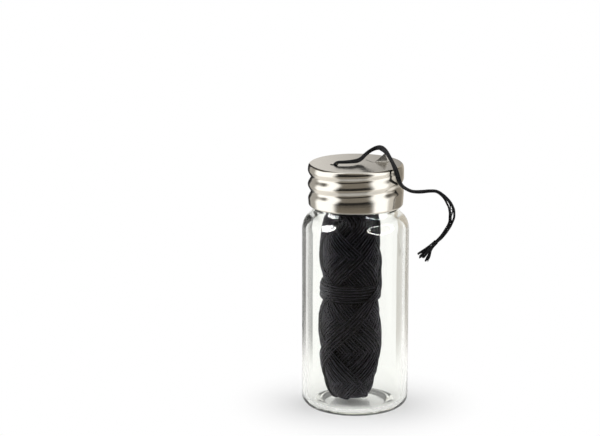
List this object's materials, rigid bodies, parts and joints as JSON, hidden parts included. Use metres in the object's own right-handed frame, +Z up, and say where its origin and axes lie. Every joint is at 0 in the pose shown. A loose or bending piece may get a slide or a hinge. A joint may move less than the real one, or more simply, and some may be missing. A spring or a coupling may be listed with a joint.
{
  "type": "dental floss dispenser",
  "caption": "Glass screw-neck vial with a pressed steel lid, floss hole and cutting tongue, holding a cross-wound spool of dark floss with one strand led out over the lid",
  "frame": {"origin": "on the vial's axis at the level of its resting ring, which is the centre of the base of the object without its free strand", "axes": "+Z up along the vial's axis, the front as pictured faces -Y, +X to the right as pictured"},
  "size_m": [0.0309, 0.022, 0.0548],
  "materials": {
    "clear_glass": "clear, polished soda-lime glass with a faint green tint in thick edges",
    "lid_steel": "fine brushed top, polished rolled side",
    "liner": "matt white soft liner",
    "charcoal_floss": "waxed charcoal thread with a soft sheen"
  },
  "bodies": {
    "vial": {"glass_vial": "clear_glass", "floss_feed_strand": "charcoal_floss"},
    "liner": {"sealing_ring": "liner"},
    "cap": {"screw_cap": "lid_steel", "floss_strand": "charcoal_floss", "floss_frayed_end": "charcoal_floss"},
    "spool": {"floss_core": "charcoal_floss", "floss_winding": "charcoal_floss", "floss_waist_band": "charcoal_floss"}
  },
  "joints": [
    {"name": "cap_lift", "type": "slide", "parent": "vial", "child": "liner", "axis": [0, 0, 1], "range_m": [0, 0.0091], "deforming": ["floss_feed_strand"]},
    {"name": "cap_turn", "type": "hinge", "parent": "liner", "child": "cap", "pos_m": [0, 0, 0.0512], "axis": [0, 0, 1], "range_deg": [0, 1080]},
    {"name": "spool_spin", "type": "hinge", "parent": "vial", "child": "spool", "pos_m": [-0.001, 0, 0.0014], "axis": [0, 0, 1], "continuous": true}
  ],
  "couplings": [
    {"joint": "cap_lift", "follows": "cap_turn", "m_per_rad": 0.00047746}
  ]
}
